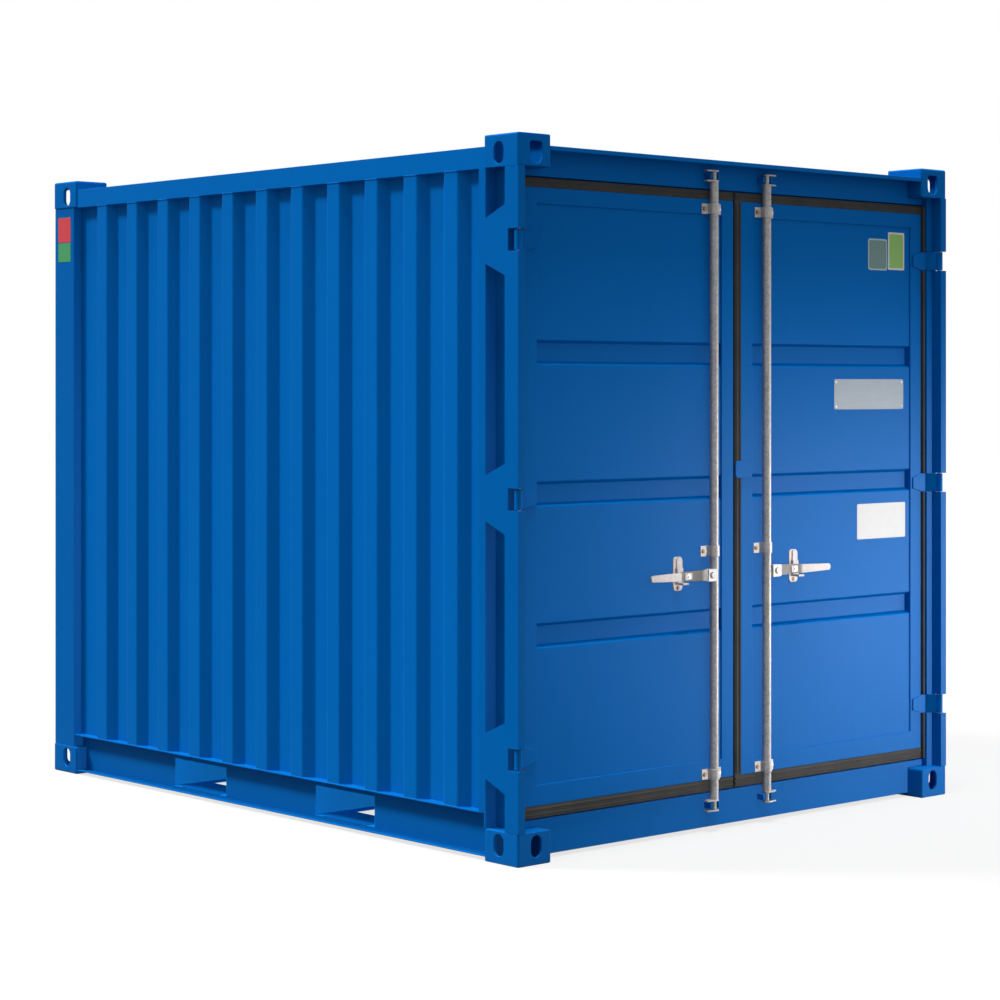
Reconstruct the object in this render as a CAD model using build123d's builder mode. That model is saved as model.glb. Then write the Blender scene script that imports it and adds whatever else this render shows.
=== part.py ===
"""A 10 ft steel storage container with two hinged doors at one end.

Millimetres, +Z up, origin at the centre of the base. The doors face -Y.
Left and right are as seen by a person who stands in front of the doors.
"""
import os

from build123d import *

os.makedirs("parts", exist_ok=True)

# Overall size over the corner castings
length = 2991.0
width = 2438.0
height = 2591.0

# Shared plate sizes
sheet = 2.0
tube_wall = 3.0
plate = 4.0
overrun = 5.0

# Corner castings
casting_long = 178.0
casting_wide = 162.0
casting_tall = 118.0
casting_wall = 12.0
casting_hole_tall = 79.5
casting_hole_wide = 51.0
casting_hole_shift = 8.0
top_end_hole_wide = 62.0
top_end_hole_round = 12.0
aperture_long = 124.0
aperture_wide = 63.5
aperture_from_end = 101.5
aperture_from_side = 89.0

# Rails between the castings
rail_set_in = 6.0
top_drop = 40.0
top_rail_tall = 78.0
top_rail_wide = 60.0
base_lift = 15.0
bottom_rail_tall = 157.0
bottom_rail_flange = 50.0

# Corrugated walls
crest_set_in = 8.0
corrugation_deep = 36.0
crest_wide = 70.0
trough_wide = 72.0
web_run = 42.0
corrugation_margin = 100.0

# Roof sheet
roof_pitch = 209.0
roof_deep = 18.0
roof_flat_share = 0.36

# Posts at the door end
nose_wide = 34.0
nose_deep = 47.0
nose_side = 69.0
post_wide = 68.0
window_deep = 50.0
window_end = 170.0
post_long = 205.0
bridge_front_tall = 252.0
bridge_rear_tall = 164.0

# Posts at the rear end
rear_post_set_in = 4.0
rear_post_long = 149.0
rear_post_wide = 74.0

# Header and sill at the door end
front_set_back = 72.0
lip_set_back = 3.0
lip_tall = 16.0
header_deep = 60.0
header_drop = 144.0
sill_deep = 56.0
sill_top = 145.0

# Door leaves
door_sill_gap = 50.0
door_header_gap = 40.0
leaf_set_back = 65.0
leaf_deep = 50.0
leaf_side_gap = 85.0
leaf_centre = 23.0
hinge_stile = 68.0
lock_stile = 65.0
top_frame = 58.0
bottom_frame = 73.0

# Pressed door panel
panel_set_back = 7.0
groove_pitch_share = 0.2441
groove_tall = 88.0
groove_slope = 24.0
groove_deep = 24.0
grooves = 3

# Door gaskets
gasket_thick = 16.0
gasket_proud = 13.0
gasket_gap = 6.0
gasket_side_reach = 12.0
gasket_centre_gap = 9.0

# Hinges
hinge_in = 20.0
hinge_back = 20.0
hinge_shares = (0.0823, 0.4973, 0.9123)
notch_tall = 79.0
notch_back = 53.0
notch_inner_back = 66.0
notch_door_back = 72.0
pin_radius = 8.0
pin_clearance = 0.3
pin_seat = 30.0
knuckle_radius = 14.0
knuckle_gap = 2.0
strap_thick = 8.0
strap_shift = 8.0
strap_reach = 124.0
strap_end_taper = 15.0

# Lock rods with their cams and keepers
rod_x = 151.0
rod_back = 47.0
rod_radius = 17.0
rod_wall = 3.5
rod_bottom = 122.0
rod_top_drop = 118.0
neck_radius = 9.0
cam_plate = 6.0
cam_gap = 32.0
cam_arm = 46.0
cam_tip = 9.0
cam_half = 17.0
cam_shoulder = 14.0
keeper_gap = 5.0
keeper_from_rod = 16.0
keeper_thick = 12.0
keeper_reach = 32.0

# Brackets that carry the rods
bracket_above_bottom = 23.0
bracket_below_top = 37.0
bracket_mid_share = 0.3942
bracket_tall = 40.0
bracket_wall = 3.5
bracket_half = 53.0
bracket_foot = 5.0
rod_clearance = 0.5

# Handles
handle_share = 0.35398
hub_tall = 46.0
pivot_out = 35.0
pivot_radius = 6.0
pivot_clearance = 0.4
lug_thick = 9.0
lug_half = 20.0
lever_gap = 1.0
lever_thick = 8.0
lever_long = 326.0
lever_root = 44.0
lever_past = 10.0
lever_round = 9.5
lever_tip = 24.0
lever_flat = 30.0
lever_slope = 18.0
lever_joggle = 10.0
lever_low_end = 150.0
clevis_thick = 5.0
clevis_from_rod = 12.0
bolt_head_radius = 10.0
bolt_head_thick = 6.0

# Handle retainers and the tab that covers the centre gasket
retainer_x = 331.0
retainer_lift = 10.0
retainer_round_share = 0.3
retainer_wide = 50.0
retainer_tall = 128.0
retainer_plate = 6.0
retainer_gap = 6.0
shelf_thick = 7.0
shelf_front = 24.0
stand_off_tall = 56.0
stand_off_wide = 32.0
tab_tall = 66.0
tab_thick = 6.0
tab_inner = 75.0
tab_share = 0.533
tab_round_share = 0.2

# Floor, cross members and fork pockets
floor_thick = 21.0
floor_under = 145.0
member_tall = 100.0
member_flange = 45.0
member_shares = (-0.3845, -0.2675, 0.0, 0.2675, 0.3845)
pocket_share = 0.15714
pocket_wide = 354.0
pocket_bottom = 24.0
pocket_flange = 45.0
strap_wide = 100.0
strap_set_in = 60.0

# Planes and heights that follow from the sizes above
half_width = width / 2
front = -length / 2
rear = length / 2
casting_inner_x = half_width - casting_wide
casting_inner_y = rear - casting_long
rail_outer_x = half_width - rail_set_in
top_of_rails = height - top_drop
bottom_of_top_rails = top_of_rails - top_rail_tall
top_of_bottom_rails = base_lift + bottom_rail_tall
web_outer_x = rail_outer_x - bottom_rail_flange + plate
web_inner_x = rail_outer_x - bottom_rail_flange
post_inner_x = half_width - post_wide
header_y = front + front_set_back
leaf_y = front + leaf_set_back
panel_y = leaf_y + panel_set_back
leaf_outer_x = half_width - leaf_side_gap
hinge_x = half_width - hinge_in
hinge_y = front + hinge_back
header_bottom = height - header_drop
door_bottom = sill_top + door_sill_gap
door_top = header_bottom - door_header_gap
door_tall = door_top - door_bottom
hinge_heights = [door_bottom + door_tall * share for share in hinge_shares]
knuckle_tall = notch_tall - 2 * knuckle_gap
rod_y = front + rod_back
rod_top = height - rod_top_drop
bracket_heights = (
    door_bottom + bracket_above_bottom,
    door_bottom + door_tall * bracket_mid_share,
    door_top - bracket_below_top,
)
handle_z = door_bottom + door_tall * handle_share
tab_z = door_bottom + door_tall * tab_share
member_places = [length * share for share in member_shares]
pocket_place = length * pocket_share
wall_front = front + post_long
wall_rear = rear - rear_post_set_in - rear_post_long
corrugation_pitch = crest_wide + trough_wide + 2 * web_run
hands = {"left": -1, "right": 1}


def block(low, high, mode=Mode.ADD):
    """A box between two corners, given in any order."""
    size = [abs(b - a) for a, b in zip(low, high)]
    middle = [(a + b) / 2 for a, b in zip(low, high)]
    with Locations(tuple(middle)):
        Box(*size, mode=mode)


def tube(low, high, along, wall):
    """A rectangular tube between two corners, open at both ends."""
    block(low, high)
    inner_low = [a if i == along else min(a, b) + wall for i, (a, b) in enumerate(zip(low, high))]
    inner_high = [b if i == along else max(a, b) - wall for i, (a, b) in enumerate(zip(low, high))]
    block(inner_low, inner_high, mode=Mode.SUBTRACT)


def corrugation(start, end, outer, inward):
    """Corners of a corrugated line: the run is along the first axis and crests are at outer."""
    crests = int((end - start - corrugation_margin) / corrugation_pitch)
    trough = outer + inward * (corrugation_deep - sheet)
    corners = [(start, trough)]
    for i in range(crests):
        centre = corrugation_pitch * (i - (crests - 1) / 2)
        corners += [
            (centre - crest_wide / 2 - web_run, trough),
            (centre - crest_wide / 2, outer),
            (centre + crest_wide / 2, outer),
            (centre + crest_wide / 2 + web_run, trough),
        ]
    corners.append((end, trough))
    return corners


def sheet_outline(corners, thick):
    """Closed outline of a bent sheet whose one face follows corners and whose other lies thick above."""
    back = [(u, v + thick) for u, v in reversed(corners)]
    return corners + back


# Corner castings: hollow blocks with a hole in each outer face
for level, base, outward in (("top", height - casting_tall, 1), ("bottom", 0.0, -1)):
    with BuildPart() as castings:
        centre_z = base + casting_tall / 2 - outward * casting_hole_shift
        for sx in (-1, 1):
            for sy in (-1, 1):
                outer = (sx * half_width, sy * rear, base)
                inner = (sx * casting_inner_x, sy * casting_inner_y, base + casting_tall)
                block(outer, inner)
                block(
                    (sx * (half_width - casting_wall), sy * (rear - casting_wall), base + casting_wall),
                    (
                        sx * (casting_inner_x + casting_wall),
                        sy * (casting_inner_y + casting_wall),
                        base + casting_tall - casting_wall,
                    ),
                    mode=Mode.SUBTRACT,
                )
                aperture_y = sy * (rear - aperture_from_end)
                aperture_x = sx * (half_width - aperture_from_side)
                face_z = base + casting_tall if outward > 0 else base
                with BuildSketch(Plane((aperture_x, aperture_y, face_z))):
                    SlotOverall(aperture_long, aperture_wide, rotation=90)
                extrude(amount=-outward * (casting_wall + overrun), mode=Mode.SUBTRACT)
                side_plane = Plane((sx * half_width, aperture_y, centre_z), x_dir=(0, 1, 0), z_dir=(sx, 0, 0))
                with BuildSketch(side_plane):
                    SlotOverall(casting_hole_tall, casting_hole_wide, rotation=90)
                extrude(amount=-(casting_wall + overrun), mode=Mode.SUBTRACT)
                end_plane = Plane((aperture_x, sy * rear, centre_z), x_dir=(1, 0, 0), z_dir=(0, sy, 0))
                with BuildSketch(end_plane):
                    if outward > 0:
                        half_wide = top_end_hole_wide / 2
                        with Locations((0, -sy * half_wide / 2)):
                            Rectangle(top_end_hole_wide, casting_hole_tall - half_wide)
                        corners = vertices().sort_by(Axis.Y, reverse=sy < 0)
                        fillet(corners[:2], radius=top_end_hole_round)
                        with Locations((0, -sy * (half_wide - casting_hole_tall / 2))):
                            Circle(half_wide)
                    else:
                        SlotOverall(casting_hole_tall, casting_hole_wide, rotation=90)
                extrude(amount=-(casting_wall + overrun), mode=Mode.SUBTRACT)
    castings.part.label = f"{level}_corner_castings"
    export_step(castings.part, f"parts/{level}_corner_castings.step")

# Posts at the door end: a folded section with a nose, side windows and hinge notches
post_bottom = casting_tall
post_top = height - casting_tall
for hand, side in hands.items():
    section = [
        (0, 0),
        (nose_wide, 0),
        (nose_wide, nose_deep),
        (post_wide, nose_deep),
        (post_wide, post_long),
        (0, post_long),
        (0, window_end),
        (window_deep, window_end),
        (window_deep, nose_side),
        (0, nose_side),
    ]
    corners = [(side * (half_width - u), front + v) for u, v in section]
    with BuildPart() as post:
        with BuildSketch(Plane.XY.offset(post_bottom)):
            with BuildLine():
                Polyline(*corners, close=True)
            outline = make_face()
            offset(outline, amount=-plate, kind=Kind.INTERSECTION, mode=Mode.SUBTRACT)
        extrude(amount=post_top - post_bottom)
        for z in hinge_heights:
            with BuildSketch(Plane((side * half_width, 0, z), x_dir=(0, 1, 0), z_dir=(side, 0, 0))):
                with BuildLine():
                    Polyline(
                        (front + nose_side, -side * bridge_front_tall / 2),
                        (front + window_end, -side * bridge_rear_tall / 2),
                        (front + window_end, side * bridge_rear_tall / 2),
                        (front + nose_side, side * bridge_front_tall / 2),
                        close=True,
                    )
                make_face()
            extrude(amount=-plate)
            block(
                (side * (half_width - plate), front + plate, z - notch_tall / 2 - pin_seat),
                (side * (half_width - nose_wide + plate), front + nose_deep, z + notch_tall / 2 + pin_seat),
            )
            notch = [
                (-overrun, -overrun),
                (-overrun, notch_back),
                (nose_wide, notch_back),
                (window_deep + plate, notch_inner_back),
                (window_deep + plate, notch_door_back),
                (post_wide + overrun, notch_door_back),
                (post_wide + overrun, -overrun),
            ]
            with BuildSketch(Plane.XY.offset(z - notch_tall / 2)):
                with BuildLine():
                    Polyline(*[(side * (half_width - u), front + v) for u, v in notch], close=True)
                make_face()
            extrude(amount=notch_tall, mode=Mode.SUBTRACT)
        block(
            (side * half_width, -casting_inner_y, post_bottom),
            (side * post_inner_x, front + post_long, top_of_bottom_rails),
            mode=Mode.SUBTRACT,
        )
    post.part.label = f"{hand}_door_post"
    export_step(post.part, f"parts/{hand}_door_post.step")

# Hinge pins, held between the solid seats above and below each notch
for hand, side in hands.items():
    with BuildPart() as pins:
        for z in hinge_heights:
            with Locations((side * hinge_x, hinge_y, z)):
                Cylinder(pin_radius, notch_tall)
    pins.part.label = f"{hand}_hinge_pins"
    export_step(pins.part, f"parts/{hand}_hinge_pins.step")

# Posts at the rear end
for hand, side in hands.items():
    with BuildPart() as rear_post:
        outer_x = half_width - rear_post_set_in
        outer_y = rear - rear_post_set_in
        tube(
            (side * outer_x, outer_y, post_bottom),
            (side * (outer_x - rear_post_wide), outer_y - rear_post_long, post_top),
            2,
            plate,
        )
    rear_post.part.label = f"{hand}_rear_post"
    export_step(rear_post.part, f"parts/{hand}_rear_post.step")

# Header over the doors: a tube with a lip that shelters the cams
with BuildPart() as header:
    with BuildSketch(Plane.YZ.offset(-post_inner_x)):
        with BuildLine():
            Polyline(
                (front + lip_set_back, top_of_rails),
                (header_y + header_deep, top_of_rails),
                (header_y + header_deep, header_bottom),
                (header_y, header_bottom),
                (header_y, top_of_rails - plate),
                (front + lip_set_back + plate, top_of_rails - plate),
                (front + lip_set_back + plate, top_of_rails - lip_tall),
                (front + lip_set_back, top_of_rails - lip_tall),
                close=True,
            )
        make_face()
    extrude(amount=2 * post_inner_x)
    block(
        (-post_inner_x, header_y + plate, header_bottom + plate),
        (post_inner_x, header_y + header_deep - plate, top_of_rails - plate),
        mode=Mode.SUBTRACT,
    )
    for side in hands.values():
        block(
            (side * casting_inner_x, front, post_top),
            (side * half_width, header_y + header_deep, height),
            mode=Mode.SUBTRACT,
        )
header.part.label = "door_header"
export_step(header.part, "parts/door_header.step")

# Sill under the doors
with BuildPart() as sill:
    tube(
        (-post_inner_x, header_y, base_lift),
        (post_inner_x, header_y + sill_deep, sill_top),
        0,
        plate,
    )
    for side in hands.values():
        block(
            (side * casting_inner_x, front, 0),
            (side * half_width, header_y + sill_deep, casting_tall),
            mode=Mode.SUBTRACT,
        )
sill.part.label = "door_sill"
export_step(sill.part, "parts/door_sill.step")

# Rails at the rear end
with BuildPart() as rear_top_rail:
    tube(
        (-casting_inner_x, rear - rail_set_in - top_rail_wide, bottom_of_top_rails),
        (casting_inner_x, rear - rail_set_in, top_of_rails),
        0,
        tube_wall,
    )
rear_top_rail.part.label = "rear_top_rail"
export_step(rear_top_rail.part, "parts/rear_top_rail.step")

with BuildPart() as rear_bottom_rail:
    tube(
        (-casting_inner_x, rear - rail_set_in - bottom_rail_flange, base_lift),
        (casting_inner_x, rear - rail_set_in, top_of_bottom_rails),
        0,
        plate,
    )
rear_bottom_rail.part.label = "rear_bottom_rail"
export_step(rear_bottom_rail.part, "parts/rear_bottom_rail.step")

# Top side rails
for hand, side in hands.items():
    with BuildPart() as top_rail:
        tube(
            (side * rail_outer_x, -casting_inner_y, bottom_of_top_rails),
            (side * (rail_outer_x - top_rail_wide), casting_inner_y, top_of_rails),
            1,
            tube_wall,
        )
    top_rail.part.label = f"{hand}_top_rail"
    export_step(top_rail.part, f"parts/{hand}_top_rail.step")

# Bottom side rails: channels open outwards, cut away where the fork pockets pass.
# At the rear they run on over the castings to the posts.
pocket_outer = pocket_wide + 2 * plate
for hand, side in hands.items():
    with BuildPart() as bottom_rail:
        block(
            (side * rail_outer_x, -casting_inner_y, base_lift),
            (side * web_inner_x, wall_rear, top_of_bottom_rails),
        )
        block(
            (side * (rail_outer_x + overrun), -casting_inner_y, base_lift + plate),
            (side * web_outer_x, wall_rear, top_of_bottom_rails - plate),
            mode=Mode.SUBTRACT,
        )
        block(
            (side * half_width, casting_inner_y, 0),
            (side * casting_inner_x, rear, casting_tall),
            mode=Mode.SUBTRACT,
        )
        for sy in (-1, 1):
            block(
                (side * (web_outer_x + overrun), sy * pocket_place - pocket_outer / 2, pocket_bottom),
                (side * (web_inner_x - overrun), sy * pocket_place + pocket_outer / 2, floor_under),
                mode=Mode.SUBTRACT,
            )
    bottom_rail.part.label = f"{hand}_bottom_rail"
    export_step(bottom_rail.part, f"parts/{hand}_bottom_rail.step")

# Corrugated side walls
for hand, side in hands.items():
    crest_x = half_width - crest_set_in
    line = corrugation(wall_front, wall_rear, crest_x, -1)
    outline = sheet_outline(line, -sheet)
    with BuildPart() as wall:
        with BuildSketch(Plane.XY.offset(top_of_bottom_rails)):
            with BuildLine():
                Polyline(*[(side * v, u) for u, v in outline], close=True)
            make_face()
        extrude(amount=bottom_of_top_rails - top_of_bottom_rails)
    wall.part.label = f"{hand}_wall"
    export_step(wall.part, f"parts/{hand}_wall.step")

# Corrugated rear wall
rear_wall_end = half_width - rear_post_set_in - rear_post_wide
with BuildPart() as rear_wall:
    line = corrugation(-rear_wall_end, rear_wall_end, rear - crest_set_in, -1)
    with BuildSketch(Plane.XY.offset(top_of_bottom_rails)):
        with BuildLine():
            Polyline(*sheet_outline(line, -sheet), close=True)
        make_face()
    extrude(amount=bottom_of_top_rails - top_of_bottom_rails)
rear_wall.part.label = "rear_wall"
export_step(rear_wall.part, "parts/rear_wall.step")

# Roof sheet with ribs across the container
roof_front = header_y + header_deep
roof_rear = rear - rail_set_in - top_rail_wide
roof_side = rail_outer_x - top_rail_wide
with BuildPart() as roof:
    low_z = top_of_rails - roof_deep
    high_z = top_of_rails - sheet
    middle_y = (roof_front + roof_rear) / 2
    flat = roof_pitch * roof_flat_share
    slope = roof_pitch / 2 - flat
    line = [(roof_front, low_z)]
    roof_ribs = int((roof_rear - roof_front - roof_pitch) / roof_pitch)
    for i in range(roof_ribs):
        centre = middle_y + roof_pitch * (i - (roof_ribs - 1) / 2)
        line += [
            (centre - flat / 2 - slope, low_z),
            (centre - flat / 2, high_z),
            (centre + flat / 2, high_z),
            (centre + flat / 2 + slope, low_z),
        ]
    line.append((roof_rear, low_z))
    with BuildSketch(Plane.YZ.offset(-roof_side)):
        with BuildLine():
            Polyline(*sheet_outline(line, sheet), close=True)
        make_face()
    extrude(amount=2 * roof_side)
    for side in hands.values():
        for sy in (-1, 1):
            block(
                (side * casting_inner_x, sy * casting_inner_y, low_z - overrun),
                (side * half_width, sy * rear, height),
                mode=Mode.SUBTRACT,
            )
roof.part.label = "roof"
export_step(roof.part, "parts/roof.step")

# Floor, cross members and fork pockets
floor_front = header_y + sill_deep
floor_rear = rear - rail_set_in - bottom_rail_flange
with BuildPart() as floor:
    block(
        (-web_inner_x, floor_front, floor_under),
        (web_inner_x, floor_rear, floor_under + floor_thick),
    )
    for side in hands.values():
        block(
            (side * post_inner_x, floor_front, floor_under),
            (side * half_width, wall_front, floor_under + floor_thick),
            mode=Mode.SUBTRACT,
        )
        block(
            (side * (half_width - rear_post_set_in - rear_post_wide), wall_rear, floor_under),
            (side * half_width, rear, floor_under + floor_thick),
            mode=Mode.SUBTRACT,
        )
floor.part.label = "floor"
export_step(floor.part, "parts/floor.step")

with BuildPart() as members:
    for y in member_places:
        with BuildSketch(Plane.YZ.offset(-web_inner_x)):
            with Locations((y, floor_under - member_tall / 2)):
                Rectangle(member_flange, member_tall)
            with Locations((y + plate, floor_under - member_tall / 2)):
                Rectangle(member_flange, member_tall - 2 * plate, mode=Mode.SUBTRACT)
    extrude(amount=2 * web_inner_x)
members.part.label = "floor_cross_members"
export_step(members.part, "parts/floor_cross_members.step")

for place, sy in (("front", -1), ("rear", 1)):
    with BuildPart() as pocket:
        middle = sy * pocket_place
        tube(
            (-web_outer_x, middle - pocket_outer / 2, pocket_bottom),
            (web_outer_x, middle + pocket_outer / 2, floor_under),
            0,
            plate,
        )
        open_half = pocket_wide / 2 - pocket_flange
        strap_outer = web_outer_x - strap_set_in
        for low, high in (
            (-web_outer_x, -strap_outer),
            (-strap_outer + strap_wide, strap_outer - strap_wide),
            (strap_outer, web_outer_x),
        ):
            block(
                (low, middle - open_half, pocket_bottom),
                (high, middle + open_half, pocket_bottom + plate),
                mode=Mode.SUBTRACT,
            )
    pocket.part.label = f"{place}_fork_pocket"
    export_step(pocket.part, f"parts/{place}_fork_pocket.step")

# Keepers on the header and the sill, a pair of lugs for each rod
for level, first in (("top", rod_top + cam_plate), ("bottom", rod_bottom - cam_plate)):
    way = 1 if level == "top" else -1
    low_z = first + way * keeper_gap
    high_z = first + way * (cam_gap - keeper_gap)
    with BuildPart() as keepers:
        for side in hands.values():
            for flank in (-1, 1):
                inner = side * rod_x + flank * keeper_from_rod
                block(
                    (inner, header_y - keeper_reach, low_z),
                    (inner + flank * keeper_thick, header_y, high_z),
                )
    keepers.part.label = f"{level}_cam_keepers"
    export_step(keepers.part, f"parts/{level}_cam_keepers.step")

# Door leaves: a tube frame with a pressed panel
panel_bottom = door_bottom + bottom_frame
panel_top = door_top - top_frame
for hand, side in hands.items():
    frame_inner_lock = leaf_centre + lock_stile
    frame_inner_hinge = leaf_outer_x - hinge_stile
    with BuildPart() as leaf:
        block((side * leaf_centre, leaf_y, door_bottom), (side * leaf_outer_x, leaf_y + leaf_deep, door_top))
        block(
            (side * frame_inner_lock, leaf_y, panel_bottom),
            (side * frame_inner_hinge, leaf_y + leaf_deep, panel_top),
            mode=Mode.SUBTRACT,
        )
        back = leaf_y + leaf_deep - tube_wall
        for inner, outer in (
            (leaf_centre + tube_wall, frame_inner_lock - tube_wall),
            (frame_inner_hinge + tube_wall, leaf_outer_x - tube_wall),
        ):
            block(
                (side * inner, leaf_y + tube_wall, door_bottom),
                (side * outer, back, door_top),
                mode=Mode.SUBTRACT,
            )
        for low, high in (
            (door_bottom + tube_wall, panel_bottom - tube_wall),
            (panel_top + tube_wall, door_top - tube_wall),
        ):
            block(
                (side * (leaf_centre + tube_wall), leaf_y + tube_wall, low),
                (side * (leaf_outer_x - tube_wall), back, high),
                mode=Mode.SUBTRACT,
            )
    leaf.part.label = f"{hand}_door_frame"
    export_step(leaf.part, f"parts/{hand}_door_frame.step")

    line = [(panel_bottom, panel_y)]
    middle_z = (panel_bottom + panel_top) / 2
    for i in range(grooves):
        z = middle_z + (panel_top - panel_bottom) * groove_pitch_share * (i - (grooves - 1) / 2)
        line += [
            (z - groove_tall / 2, panel_y),
            (z - groove_tall / 2 + groove_slope, panel_y + groove_deep),
            (z + groove_tall / 2 - groove_slope, panel_y + groove_deep),
            (z + groove_tall / 2, panel_y),
        ]
    line.append((panel_top, panel_y))
    with BuildPart() as panel:
        with BuildSketch(Plane.YZ.offset(side * frame_inner_lock)):
            with BuildLine():
                Polyline(*[(v, u) for u, v in sheet_outline(line, sheet)], close=True)
            make_face()
        extrude(amount=side * (frame_inner_hinge - frame_inner_lock))
    panel.part.label = f"{hand}_door_panel"
    export_step(panel.part, f"parts/{hand}_door_panel.step")

# Door gaskets: strips round each leaf; the right leaf also carries the centre strip
gasket_side_x = leaf_outer_x + gasket_side_reach
strap_clear_tall = knuckle_tall + 2 * knuckle_gap
for hand, side in hands.items():
    gasket_low = sill_top + gasket_gap
    gasket_high = header_bottom - gasket_gap
    centre_edge = leaf_centre if hand == "left" else -leaf_centre + gasket_centre_gap
    with BuildPart() as gasket:
        for low, high in ((gasket_low, door_bottom), (door_top, gasket_high)):
            block(
                (side * centre_edge, leaf_y, low),
                (side * gasket_side_x, leaf_y + gasket_thick, high),
            )
        block(
            (side * leaf_outer_x, leaf_y - gasket_proud, gasket_low),
            (side * gasket_side_x, leaf_y + gasket_thick, gasket_high),
        )
        if hand == "right":
            block(
                (side * centre_edge, leaf_y, gasket_low),
                (side * leaf_centre, leaf_y + gasket_thick, gasket_high),
            )
        for z in hinge_heights:
            block(
                (side * leaf_outer_x, leaf_y - gasket_proud, z - strap_clear_tall / 2),
                (side * gasket_side_x, leaf_y, z + strap_clear_tall / 2),
                mode=Mode.SUBTRACT,
            )
    gasket.part.label = f"{hand}_door_gasket"
    export_step(gasket.part, f"parts/{hand}_door_gasket.step")

# Hinge straps: a knuckle on the pin and a cranked strap on the leaf
for hand, side in hands.items():
    seat = leaf_set_back - hinge_back
    slant = strap_thick * 2 ** 0.5
    profile = [
        (0, -strap_shift),
        (seat - strap_thick + strap_shift, seat - strap_thick),
        (strap_reach, seat - strap_thick),
        (strap_reach, seat),
        (seat + strap_shift - slant, seat),
        (0, slant - strap_shift),
    ]
    with BuildPart() as straps:
        for z in hinge_heights:
            with BuildSketch(Plane.XY.offset(z - knuckle_tall / 2)):
                with BuildLine():
                    Polyline(*[(side * (hinge_x - u), hinge_y + v) for u, v in profile], close=True)
                make_face()
                with Locations((side * hinge_x, hinge_y)):
                    Circle(knuckle_radius)
                    Circle(pin_radius + pin_clearance, mode=Mode.SUBTRACT)
        extrude(amount=knuckle_tall)
        for z in hinge_heights:
            for way in (-1, 1):
                edge = z + way * knuckle_tall / 2
                with BuildSketch(Plane.XZ.offset(-leaf_y)):
                    with BuildLine():
                        Polyline(
                            (side * leaf_outer_x, edge),
                            (side * (hinge_x - strap_reach), edge - way * strap_end_taper),
                            (side * (hinge_x - strap_reach), edge),
                            close=True,
                        )
                    make_face()
                extrude(amount=strap_thick, mode=Mode.SUBTRACT)
    straps.part.label = f"{hand}_hinge_straps"
    export_step(straps.part, f"parts/{hand}_hinge_straps.step")

# Lock rods with the hub that carries the handle
lug_y = rod_y - lug_thick
lever_back = lug_y - lever_gap
lever_front = lever_back - lever_thick
for hand, side in hands.items():
    pivot_x = side * (rod_x + pivot_out)
    with BuildPart() as rod:
        with BuildSketch(Plane.XY.offset(rod_bottom)):
            with Locations((side * rod_x, rod_y)):
                Circle(rod_radius)
        extrude(amount=rod_top - rod_bottom)
        block(
            (side * rod_x, lug_y, handle_z - hub_tall / 2),
            (pivot_x + side * lug_half, rod_y, handle_z + hub_tall / 2),
        )
        with BuildSketch(Plane.XY.offset(rod_bottom)):
            with Locations((side * rod_x, rod_y)):
                Circle(rod_radius - rod_wall)
        extrude(amount=rod_top - rod_bottom, mode=Mode.SUBTRACT)
        with BuildSketch(Plane((pivot_x, lug_y, handle_z), x_dir=(1, 0, 0), z_dir=(0, -1, 0))):
            Circle(pivot_radius)
        extrude(amount=lever_thick + 2 * lever_gap)
        clevis_back = lever_front - lever_gap
        clevis_x = side * (rod_x + clevis_from_rod)
        block(
            (clevis_x, clevis_back - clevis_thick, handle_z - hub_tall / 2),
            (pivot_x + side * lug_half, clevis_back, handle_z + hub_tall / 2),
        )
        block(
            (clevis_x, clevis_back, handle_z - hub_tall / 2),
            (clevis_x + side * clevis_thick, rod_y, handle_z + hub_tall / 2),
        )
        with BuildSketch(Plane((pivot_x, clevis_back - clevis_thick, handle_z), x_dir=(1, 0, 0), z_dir=(0, -1, 0))):
            RegularPolygon(bolt_head_radius, 6)
        extrude(amount=bolt_head_thick)
    rod.part.label = f"{hand}_lock_rod"
    export_step(rod.part, f"parts/{hand}_lock_rod.step")

    # The arm points away from the centre of the doors, and the short side clears the header as the rod turns
    cam_outline = [
        (-cam_half, -cam_tip),
        (-cam_tip, -cam_half),
        (cam_shoulder, -cam_half),
        (cam_arm, -cam_tip),
        (cam_arm, cam_tip),
        (cam_shoulder, cam_half),
        (-cam_tip, cam_half),
        (-cam_half, cam_tip),
    ]
    with BuildPart() as cams:
        for end, way in ((rod_bottom, -1), (rod_top, 1)):
            with BuildSketch(Plane.XY.offset(end)):
                with Locations((side * rod_x, rod_y)):
                    Circle(neck_radius)
            extrude(amount=way * (2 * cam_plate + cam_gap))
            for start in (0, cam_plate + cam_gap):
                with BuildSketch(Plane.XY.offset(end + way * start)):
                    with BuildLine():
                        Polyline(*[(side * (rod_x + u), rod_y + v) for u, v in cam_outline], close=True)
                    make_face()
                extrude(amount=way * cam_plate)
    cams.part.label = f"{hand}_rod_cams"
    export_step(cams.part, f"parts/{hand}_rod_cams.step")

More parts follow.
